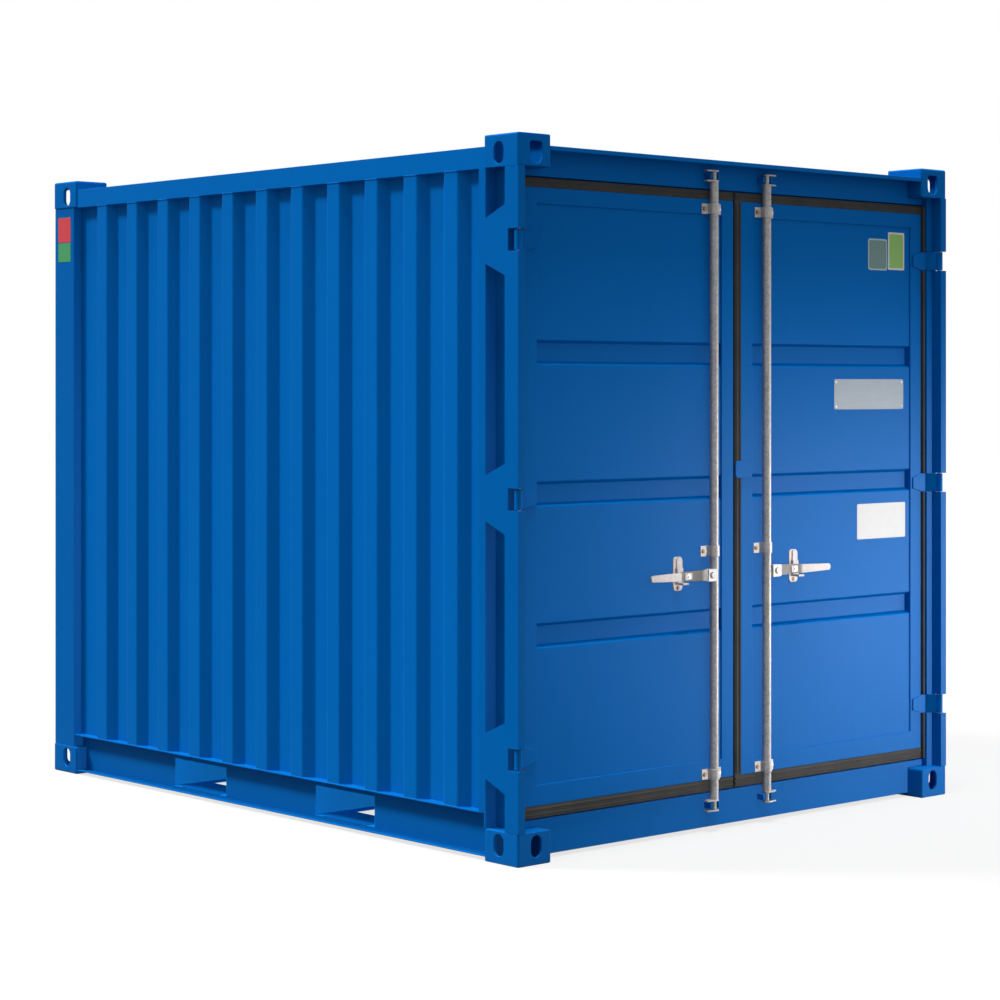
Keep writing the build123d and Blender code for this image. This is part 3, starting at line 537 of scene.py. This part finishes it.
# A CAD node with eased edges: a merged copy of its mesh, flat faces joined, and a bevel on its sharp edges.
# Where longEdge is given, edges at least that long get the full width and the rest get the small share.
def easedCopy(node, edge, material, body, segments=2, angle=35, longEdge=None, smallShare=0.25):
    mesh = nodes[node].data.copy()
    flatAngle = math.radians(meshRules["flatAngle"])
    bm = bmesh.new()
    bm.from_mesh(mesh)
    bmesh.ops.remove_doubles(bm, verts=bm.verts, dist=meshRules["copyMerge"])
    bmesh.ops.dissolve_limit(bm, angle_limit=flatAngle, verts=bm.verts, edges=bm.edges)
    if longEdge:
        weight = bm.edges.layers.float.new("bevel_weight_edge")
        for item in bm.edges:
            if item.calc_face_angle(0.0) > math.radians(angle):
                item[weight] = 1.0 if item.calc_length() >= longEdge else smallShare
    bm.to_mesh(mesh)
    bm.free()
    obj = smoothObject(node + "Finished", mesh, material)
    bevel = obj.modifiers.new("easedEdges", "BEVEL")
    bevel.width = edge
    bevel.segments = segments
    bevel.limit_method = "WEIGHT" if longEdge else "ANGLE"
    bevel.angle_limit = math.radians(angle)
    bevel.use_clamp_overlap = not longEdge
    keepFlat(obj)
    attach(obj, body)
    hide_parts(node)


wallShape = {"pitch": 0.226, "crest": 0.070, "web": 0.042, "deep": 0.036, "sheet": 0.002, "bend": 0.014,
             "setIn": 0.008, "bead": 0.003, "crests": {"left": 11, "right": 11, "rear": 9}}


# Crest, web, trough, web: repeated along the wall about its middle.
def wallCorners(count, start, end):
    shape = wallShape
    centre = shape["pitch"] * (np.arange(count) - (count - 1) / 2)
    half = shape["crest"] / 2
    run = np.array([-half - shape["web"], -half, half, half + shape["web"]])
    inward = np.array([shape["deep"] - shape["sheet"], 0, 0, shape["deep"] - shape["sheet"]])
    along = (centre[:, None] + run).ravel()
    depth = np.tile(inward, count)
    return np.stack([np.r_[start, along, end], np.r_[depth[0], depth, depth[-1]]], 1)


# Corrugated sheets on three sides, each with a weld bead along its foot and its head.
def buildWalls():
    shape = wallShape
    setIn = shape["setIn"]
    for hand, side in hands + (("rear", 0),):
        node = hand + "_wall"
        low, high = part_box(node)
        if side:
            ends = (low[1], high[1])
            place = lambda u, v, t, side=side: np.stack([side * (sideX - setIn - v), u, t], 1)
        else:
            ends = (low[0], high[0])
            place = lambda u, v, t: np.stack([u, -endY - setIn - v, t], 1)
        line = roundedLine(wallCorners(shape["crests"][hand], *ends), shape["bend"])
        sheet = bentSheet(line, shape["sheet"], place, low[2], high[2])
        wall = addPiece(hand + "CorrugatedWall", sheet, bluePaint, "frame")
        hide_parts(node)
        beads = [beadAlong(line, shape["bead"], place, level) for level in (low[2], high[2])]
        addPiece(hand + "WallWelds", joinArrays(beads), bluePaint, "frame")


buildWalls()
print("walls built")

roofShape = {"pitch": 0.209, "flatShare": 0.36, "deep": 0.018, "sheet": 0.002, "bend": 0.016, "ribs": 12,
             "seam": 0.0002, "castingX": 1.057, "castingY": 1.3175}


# Roof ribs across the container: one wide strip, and a shorter strip each side that ends at the castings.
def buildRoof():
    shape = roofShape
    low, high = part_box("roof")
    flat = shape["pitch"] * shape["flatShare"]
    slope = shape["pitch"] / 2 - flat
    top = shape["deep"] - shape["sheet"]
    centre = (low[1] + high[1]) / 2 + shape["pitch"] * (np.arange(shape["ribs"]) - (shape["ribs"] - 1) / 2)
    along = (centre[:, None] + np.array([-flat / 2 - slope, -flat / 2, flat / 2, flat / 2 + slope])).ravel()
    rise = np.tile([0, top, top, 0], shape["ribs"])
    corners = np.stack([np.r_[low[1], along, high[1]], low[2] + np.r_[0, rise, 0]], 1)
    line = roundedLine(corners, shape["bend"])
    stops = np.array([-shape["castingY"], shape["castingY"]])
    cut = np.stack([stops, np.interp(stops, line[:, 0], line[:, 1])], 1)
    short = np.concatenate([cut[:1], line[np.abs(line[:, 0]) < shape["castingY"]], cut[1:]])
    place = lambda u, v, t: np.stack([t, u, v], 1)
    strips = [bentSheet(line, shape["sheet"], place, -shape["castingX"], shape["castingX"])]
    for hand, side in hands:
        inner = side * (shape["castingX"] + shape["seam"])
        strips.append(bentSheet(short, shape["sheet"], place, inner, side * high[0]))
    # The roof takes the darker roof copy of the blue, as painted shade against the strong top light.
    roof = addPiece("ribbedRoof", joinArrays(strips), roofShadedPaint, "frame")
    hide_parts("roof")


buildRoof()
print("roof built")

panelShape = {"grooves": 3, "pitchShare": 0.2441, "tall": 0.088, "slope": 0.010, "deep": 0.024,
              "sheet": 0.002, "bend": 0.005}


# Pressed panel: flat, with level grooves whose sides slope in and out again.
def buildPanels():
    shape = panelShape
    count = shape["grooves"]
    half = shape["tall"] / 2
    for hand, side in hands:
        low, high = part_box(hand + "_door_panel")
        pitch = shape["pitchShare"] * (high[2] - low[2])
        centre = (low[2] + high[2]) / 2 + pitch * (np.arange(count) - (count - 1) / 2)
        run = np.array([-half, -half + shape["slope"], half - shape["slope"], half])
        along = np.r_[low[2], (centre[:, None] + run).ravel(), high[2]]
        depth = np.r_[0, np.tile([0, shape["deep"], shape["deep"], 0], count), 0]
        line = roundedLine(np.stack([along, low[1] + depth], 1), shape["bend"])
        place = lambda u, v, t: np.stack([t, v, u], 1)
        sheet = bentSheet(line, shape["sheet"], place, low[0], high[0])
        panel = addPiece(hand + "PressedPanel", sheet, bluePaint, hand + "_door")
        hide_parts(hand + "_door_panel")


buildPanels()
print("door panels built")

easedEdges = {"castings": 0.008, "castingSegments": 4, "castingLongEdge": 0.1, "posts": 0.0018,
              "rails": 0.0014, "pocket": 0.0014, "leaf": 0.0014, "gasket": 0.003, "strap": 0.002,
              "lock": 0.0012}


# The other nodes keep their shapes: an eased copy of each, in its own finish.
def buildEased():
    wide = easedEdges
    for level in ("top", "bottom"):
        easedCopy(level + "_corner_castings", wide["castings"], castPaint, "frame",
                  wide["castingSegments"], longEdge=wide["castingLongEdge"])
        easedCopy(level + "_cam_keepers", wide["lock"], bluePaint, "frame")
    for node in ("door_header", "door_sill", "rear_top_rail", "rear_bottom_rail"):
        easedCopy(node, wide["rails"], bluePaint, "frame")
    for node in pockets:
        # The fork pockets take the lighter copy of the blue, as painted light inside them.
        easedCopy(node, wide["pocket"], pocketLitPaint, "frame")
    easedCopy("floor_cross_members", wide["pocket"], bluePaint, "frame")
    for hand, side in hands:
        door = hand + "_door"
        # The posts take the darker rail copy of the blue, as painted shade.
        easedCopy(hand + "_door_post", wide["posts"], railShadedPaint, "frame")
        easedCopy(hand + "_rear_post", wide["posts"], railShadedPaint, "frame")
        easedCopy(hand + "_top_rail", wide["rails"], bluePaint, "frame")
        # The bottom rails take the darker rail copy too, as painted shade.
        easedCopy(hand + "_bottom_rail", wide["rails"], railShadedPaint, "frame")
        easedCopy(hand + "_hinge_pins", wide["lock"], boltSteel, "frame")
        easedCopy(hand + "_door_frame", wide["leaf"], bluePaint, door)
        easedCopy(hand + "_door_gasket", wide["gasket"], doorRubber, door)
        easedCopy(hand + "_hinge_straps", wide["strap"], bluePaint, door)
        easedCopy(hand + "_rod_brackets", wide["lock"], bracketSteel, door)
        easedCopy(hand + "_handle_retainer", wide["lock"], retainerSteel, door)
        easedCopy(hand + "_lock_rod", wide["lock"], rodSteel, hand + "_lock_rod")
        easedCopy(hand + "_rod_cams", wide["lock"], rodSteel, hand + "_lock_rod")
        easedCopy(hand + "_handle", wide["strap"], handleSteel, hand + "_handle")
    easedCopy("overlap_tab", wide["lock"], bluePaint, "right_door")


buildEased()
nodes["floor"].data.materials.clear()
nodes["floor"].data.materials.append(plywood)
print("eased pieces built")

# Rings are radius and height in millimetres, and 1 where the ring is hexagonal.
fastenerShape = {
    "bolt": {"sides": 12, "rings": ((9.5, 0, 0), (9.5, 1.3, 0), (7.4, 1.3, 1), (7.4, 5.0, 1), (6.0, 5.9, 0),
                                    (0.01, 5.9, 0))},
    "washer": {"sides": 24, "rings": ((13.5, 0, 0), (13.5, 0.8, 0), (12.6, 1.4, 0), (0.01, 1.4, 0))},
    "rivet": {"sides": 12, "rings": ((5.0, 0, 0), (4.4, 1.4, 0), (2.6, 2.3, 0), (0.01, 2.6, 0))},
    "screw": {"sides": 8, "rings": ((6.0, 0, 0), (5.0, 0.9, 0), (0.01, 1.2, 0))}}
millimetre = 0.001


# Fasteners: rings of given radius and height round an axis; a ring marked hexagonal has six flats.
# Each place gets the same rings, moved there, with the axis along the given normal.
def fasteners(kind, places, normal):
    rings, sides = fastenerShape[kind]["rings"], fastenerShape[kind]["sides"]
    angle = np.linspace(0, 2 * np.pi, sides, endpoint=False)
    radius, height, hexed = np.asarray(rings, float).T
    flats = np.cos(np.pi / 6) / np.cos((angle + np.pi / 6) % (np.pi / 3) - np.pi / 6)
    spread = radius[:, None] * np.where(hexed[:, None] > 0, flats, 1.0) * millimetre
    normal = np.asarray(normal, float)
    first = np.cross(normal, acrossX if normal[2] else upZ)
    second = np.cross(normal, first)
    shape = (spread[..., None] * (np.cos(angle)[:, None] * first + np.sin(angle)[:, None] * second)
             + (height * millimetre)[:, None, None] * normal).reshape(-1, 3)
    faces = ringFaces(len(rings), sides)
    return joinArrays([(shape + place, faces) for place in np.asarray(places, float)])


boltPlaces = {"bracketZ": (0.218, 1.067, 2.370), "bracketFronts": (0.060, 0.067, 0.060), "bracketOut": 0.041,
              "retainerZ": (0.935, 1.041), "retainerFront": 0.066, "pivotFront": 0.023, "sharp": 30}


# One bolt in each foot of a bracket and one at each end of a retainer, and a washer at each handle's pivot.
# The bolts in the -X feet take a darker brown copy of the bolt steel as painted shade, and the retainer bolts
# take the same brown.
def buildBolts():
    at = boltPlaces
    for hand, side in hands:
        feet = {away: [(side * rodX + away * at["bracketOut"], endY + front, z)
                       for z, front in zip(at["bracketZ"], at["bracketFronts"])] for away in (-1, 1)}
        feet[-1] += [(side * retainerX, endY + at["retainerFront"], z) for z in at["retainerZ"]]
        for name, away, material in (("ShadedBolts", -1, boltShadedBrown), ("BrightBolts", 1, boltSteel)):
            bolts = fasteners("bolt", feet[away], doorward)
            addPiece(hand + name, bolts, material, hand + "_door", at["sharp"])
        pivot = (side * pivotX, endY + at["pivotFront"], handleZ)
        washer = fasteners("washer", [pivot], doorward)
        addPiece(hand + "PivotWasher", washer, washerSteel, hand + "_lock_rod", at["sharp"])


screwPlaces = {"reach": 1.1, "inRow": 12, "length": 2.991, "sharp": 60,
               "rowShares": (-0.3845, -0.2675, 0.0, 0.2675, 0.3845)}


# Floor screws: a row over each cross member.
def buildFloorScrews():
    at = screwPlaces
    low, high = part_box("floor")
    inRow = np.linspace(-at["reach"], at["reach"], at["inRow"])
    x, y = np.meshgrid(inRow, at["length"] * np.array(at["rowShares"]))
    places = np.stack([x.ravel(), y.ravel(), np.full(x.size, high[2])], 1)
    screws = fasteners("screw", places, upZ)
    addPiece("floorScrews", screws, boltSteel, "frame", at["sharp"])


buildBolts()
buildFloorScrews()
print("bolts and screws built")

lipShape = {"wide": 0.009, "high": 0.0035, "front": 0.065, "sharp": 60, "rodGap": 0.026,
            "inner": {"left": -0.026, "right": -0.011}, "outer": 1.134, "shares": (0.3, 0.72),
            "bands": ((0.151, 0.195), (2.407, 2.441)), "centreX": (-0.005, 0.014), "centreZ": (0.203, 2.399)}


# A straight lip: a half ellipse across, carried from start to end.
def lip(start, end, across, steps=8):
    turn = np.linspace(0, np.pi, steps)[:, None]
    section = np.cos(turn) * np.asarray(across) * lipShape["wide"] / 2
    section = section + np.sin(turn) * np.asarray(doorward) * lipShape["high"]
    return np.concatenate([section + start, section + end]), ringFaces(2, steps)


# Two lips along the bottom and top gasket strips, broken where a rod stands in front of them.
# The right leaf also has two along the upright strip in the middle.
def buildLips():
    shape = lipShape
    face = endY + shape["front"]
    for hand, side in hands:
        nearRod, pastRod = side * (rodX - shape["rodGap"]), side * (rodX + shape["rodGap"])
        runs = ((shape["inner"][hand], nearRod), (pastRod, side * shape["outer"]))
        levels = [low + share * (high - low) for low, high in shape["bands"] for share in shape["shares"]]
        lips = [lip((a, face, z), (b, face, z), upZ) for z in levels for a, b in runs]
        if hand == "right":
            foot, head = shape["centreZ"]
            lips += [lip((x, face, foot), (x, face, head), acrossX) for x in shape["centreX"]]
        body = hand + "_door"
        addPiece(hand + "GasketLips", joinArrays(lips), doorRubber, body, shape["sharp"])


buildLips()
print("gasket lips built")


# A rounded plate: its outline is a rectangle with corner arcs, drawn as three rings.
# They are the back edge, the front edge less the ease, and the front face drawn in by the ease.
def roundedPlate(centre, size, corner, thick, ease, axes, arc=5):
    across, up, outward = np.asarray(axes, float)
    quarter = np.linspace(0, np.pi / 2, arc)
    half = np.asarray(size) / 2 - corner
    turn = np.concatenate([quarter + k * np.pi / 2 for k in range(4)])
    signs = np.repeat([(1, 1), (-1, 1), (-1, -1), (1, -1)], arc, axis=0)
    rings = []
    for radius, height in ((corner, 0.0), (corner, thick - ease), (corner - ease, thick)):
        flat = signs * half + radius * np.stack([np.cos(turn), np.sin(turn)], 1)
        rings.append(np.asarray(centre) + flat[:, :1] * across + flat[:, 1:] * up + height * outward)
    return np.concatenate(rings), ringFaces(len(rings), len(turn))


# A box is the lower left corner and the upper right corner, along the face and up.
plateEdge = {"ease": 0.0003, "rivetInset": 0.012, "rivetSharp": 60}
doorPlates = {
    "doorMetal": {"box": (0.586, 1.601, 1.026, 1.723), "corner": 0.008, "thick": 0.0015, "look": plateMetal},
    "doorWhite": {"box": (0.730, 1.074, 1.039, 1.217), "corner": 0.006, "thick": 0.0008, "look": filmWhite},
    "tealRim": {"box": (0.800, 2.168, 0.922, 2.296), "corner": 0.012, "thick": 0.0008, "look": filmRim},
    "tealField": {"box": (0.806, 2.174, 0.916, 2.290), "corner": 0.009, "thick": 0.0012, "look": filmTeal},
    "greenRim": {"box": (0.928, 2.172, 1.033, 2.326), "corner": 0.006, "thick": 0.0008, "look": filmWhite},
    "greenField": {"box": (0.936, 2.180, 1.025, 2.318), "corner": 0.003, "thick": 0.0012, "look": filmGreen}}
postPlates = {
    "redPatch": {"box": (1.368, 2.325, 1.466, 2.434), "corner": 0.006, "thick": 0.0008, "look": filmRed},
    "greenPatch": {"box": (1.368, 2.240, 1.466, 2.322), "corner": 0.006, "thick": 0.0008, "look": filmLeaf}}


# Bare plates and plain films: on the right door panel, and on the left rear post's side.
def buildPlates():
    low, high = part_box("right_door_panel")
    for name, plate in doorPlates.items():
        x0, z0, x1, z1 = plate["box"]
        centre, size = ((x0 + x1) / 2, low[1], (z0 + z1) / 2), (x1 - x0, z1 - z0)
        arrays = roundedPlate(centre, size, plate["corner"], plate["thick"], plateEdge["ease"], doorFace)
        addPiece(name, arrays, plate["look"], "right_door")
    x0, z0, x1, z1 = doorPlates["doorMetal"]["box"]
    front = low[1] - doorPlates["doorMetal"]["thick"]
    inset = plateEdge["rivetInset"]
    places = [(x, front, z) for x in (x0 + inset, x1 - inset) for z in (z0 + inset, z1 - inset)]
    rivets = fasteners("rivet", places, doorward)
    addPiece("plateRivets", rivets, boltSteel, "right_door", plateEdge["rivetSharp"])
    low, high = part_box("left_rear_post")
    for name, plate in postPlates.items():
        y0, z0, y1, z1 = plate["box"]
        centre, size = (low[0], (y0 + y1) / 2, (z0 + z1) / 2), (y1 - y0, z1 - z0)
        arrays = roundedPlate(centre, size, plate["corner"], plate["thick"], plateEdge["ease"], sideFace)
        addPiece(name, arrays, plate["look"], "frame")


buildPlates()
print("plates built")

catchShape = {"plateAt": 0.118, "plateBack": 0.039, "plateSize": (0.040, 0.026), "plateCorner": 0.005,
              "plateThick": 0.004, "stripBack": 0.066, "stripZ": 1.018, "stripSize": (0.022, 0.060),
              "stripCorner": 0.007, "stripThick": 0.006, "ease": 0.001, "studSharp": 30}


# Catch: a small plate in the lever's joggle with a stud on it, which ride on the handle.
# The strip over the retainer rides on the door.
def buildCatches():
    shape = catchShape
    for hand, side in hands:
        plateX = side * (pivotX + shape["plateAt"])
        back = (plateX, endY + shape["plateBack"], handleZ)
        plate = roundedPlate(
            back, shape["plateSize"], shape["plateCorner"], shape["plateThick"], shape["ease"], doorFace)
        addPiece(hand + "CatchPlate", plate, retainerSteel, hand + "_handle")
        back = (side * retainerX, endY + shape["stripBack"], shape["stripZ"])
        strip = roundedPlate(
            back, shape["stripSize"], shape["stripCorner"], shape["stripThick"], shape["ease"], doorFace)
        addPiece(hand + "RetainerStrip", strip, retainerSteel, hand + "_door")
        front = (plateX, endY + shape["plateBack"] - shape["plateThick"], handleZ)
        stud = fasteners("bolt", [front], doorward)
        addPiece(hand + "CatchStud", stud, boltSteel, hand + "_handle", shape["studSharp"])


buildCatches()
print("catches built")

stripShape = {"reach": 0.062, "long": 0.264, "thick": 0.006, "round": 0.004, "ease": 0.001}


# Edge strips: a plate across each mouth of the fork pockets, level with their bottom flanges.
def buildPocketStrips():
    shape = stripShape
    size = (shape["reach"], shape["long"])
    axes = (acrossX, alongY, upZ)
    strips = []
    for node in pockets:
        low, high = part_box(node)
        middle = (low[1] + high[1]) / 2
        for hand, side in hands:
            centre = (side * (high[0] - shape["reach"] / 2), middle, low[2])
            strips.append(roundedPlate(centre, size, shape["round"], shape["thick"], shape["ease"], axes))
    addPiece("pocketEdgeStrips", joinArrays(strips), bluePaint, "frame")


buildPocketStrips()
print("pocket strips built")

ledgeShape = {"sheet": 0.004, "bend": 0.004}


# Corner ledges: the rear rail's web and top flange carried on, over the castings, to the rear posts.
def buildCornerLedges():
    low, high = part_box("rear_bottom_rail")
    postLow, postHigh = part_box("left_rear_post")
    corners = [(high[1], postLow[2]), (high[1], high[2]), (low[1], high[2])]
    line = roundedLine(corners, ledgeShape["bend"])
    place = lambda u, v, t: np.stack([t, u, v], 1)
    ledges = [bentSheet(line, ledgeShape["sheet"], place, side * high[0], -side * postHigh[0])
              for hand, side in hands]
    # The ledges take the darker rail copy of the blue, as painted shade.
    addPiece("rearCornerLedges", joinArrays(ledges), railShadedPaint, "frame")


buildCornerLedges()
print("corner ledges built")

stageLook = {"floorHalf": 40.0, "floorRough": 0.9, "floorSeen": (0.42, 0.42, 0.42, 1),
             "floorBounce": (0.10, 0.10, 0.10, 1), "floorWhite": 0.75, "world": 0.55,
             "key": {"energy": 3.7, "from": (-0.47, 0.517, 0.715), "angle": 12},
             "top": {"energy": 4.2, "from": (-0.07, -0.08, 0.994), "angle": 14},
             "fill": {"energy": 20.5, "from": (3.60, -3.60, 0.55), "to": (0.98, -1.45, 0.68), "size": 1.9,
                      "spread": 42}}


# Turns a light so that it shines from the given direction.
def aim(obj, direction):
    direction = np.asarray(direction, float) / np.linalg.norm(direction)
    obj.rotation_euler = (math.acos(direction[2]), 0, math.atan2(direction[1], direction[0]) + math.pi / 2)


# Rays that should see the white background: camera, glossy and transmission rays.
def backgroundRays(tree):
    path = tree.nodes.new("ShaderNodeLightPath")
    mirrored = mathNode(tree, "MAXIMUM", path.outputs["Is Glossy Ray"], path.outputs["Is Transmission Ray"])
    return mathNode(tree, "MAXIMUM", path.outputs["Is Camera Ray"], mirrored)


# A pale floor that keeps the shadow: what background rays see of it is partly plain white.
def buildFloorPlane():
    look = stageLook
    half = look["floorHalf"]
    corners = [(-half, -half, 0), (half, -half, 0), (half, half, 0), (-half, half, 0)]
    mesh = bpy.data.meshes.new("floorPlane")
    mesh.from_pydata(corners, [], [(0, 1, 2, 3)])
    floor = bpy.data.objects.new("floorPlane", mesh)
    scene.collection.objects.link(floor)
    material, tree, bsdf = newMaterial("paleFloor")
    seen = backgroundRays(tree)
    tree.links.new(mixColour(tree, seen, look["floorBounce"], look["floorSeen"]), bsdf.inputs["Base Color"])
    bsdf.inputs["Roughness"].default_value = look["floorRough"]
    bsdf.inputs["Specular IOR Level"].default_value = 0.0
    white = addNode(tree, "ShaderNodeEmission", Strength=1.0)
    share = times(tree, seen, look["floorWhite"])
    both = addNode(tree, "ShaderNodeMixShader", {0: share, 1: bsdf.outputs[0], 2: white.outputs[0]})
    tree.links.new(both.outputs[0], tree.nodes["Material Output"].inputs["Surface"])
    mesh.materials.append(material)


# White all round: full for background rays, dimmer as light on the object.
def buildWorld():
    world = bpy.data.worlds.new("studio")
    scene.world = world
    world.use_nodes = True
    tree = world.node_tree
    background = tree.nodes["Background"]
    extra = times(tree, backgroundRays(tree), 1.0 - stageLook["world"])
    background.inputs["Color"].default_value = (1, 1, 1, 1)
    tree.links.new(plus(tree, extra, stageLook["world"]), background.inputs["Strength"])


# Two soft suns, and a low area light on the door end that casts no shadow.
def buildLights():
    for name in ("key", "top"):
        look = stageLook[name]
        light = bpy.data.lights.new(name + "Light", "SUN")
        light.energy = look["energy"]
        light.angle = math.radians(look["angle"])
        sun = bpy.data.objects.new(name + "Light", light)
        scene.collection.objects.link(sun)
        aim(sun, look["from"])
    look = stageLook["fill"]
    light = bpy.data.lights.new("fillLight", "AREA")
    light.size = look["size"]
    light.spread = math.radians(look["spread"])
    light.energy = look["energy"]
    light.use_shadow = False
    fill = bpy.data.objects.new("fillLight", light)
    fill.location = look["from"]
    fill.visible_camera = False
    scene.collection.objects.link(fill)
    aim(fill, np.subtract(look["from"], look["to"]))


# The focal length and the centre are in pixels of the picture.
cameraLook = {"place": (-7.240, -7.902, 1.699), "yaw": 40.977, "focal": 2499.8, "centreX": 420.0,
              "centreY": 385.1, "picture": 1000, "sensor": 36.0, "far": 200}


def buildCamera():
    look = cameraLook
    data = bpy.data.cameras.new("viewCamera")
    data.sensor_width = look["sensor"]
    data.lens = look["focal"] / look["picture"] * look["sensor"]
    data.shift_x = (look["picture"] / 2 - look["centreX"]) / look["picture"]
    data.shift_y = (look["centreY"] - look["picture"] / 2) / look["picture"]
    data.clip_end = look["far"]
    camera = bpy.data.objects.new("viewCamera", data)
    camera.location = look["place"]
    camera.rotation_euler = (math.pi / 2, 0, -math.radians(look["yaw"]))
    scene.collection.objects.link(camera)
    scene.camera = camera


buildFloorPlane()
buildWorld()
buildLights()
buildCamera()
print("stage and camera ready")

bpy.context.view_layer.update()
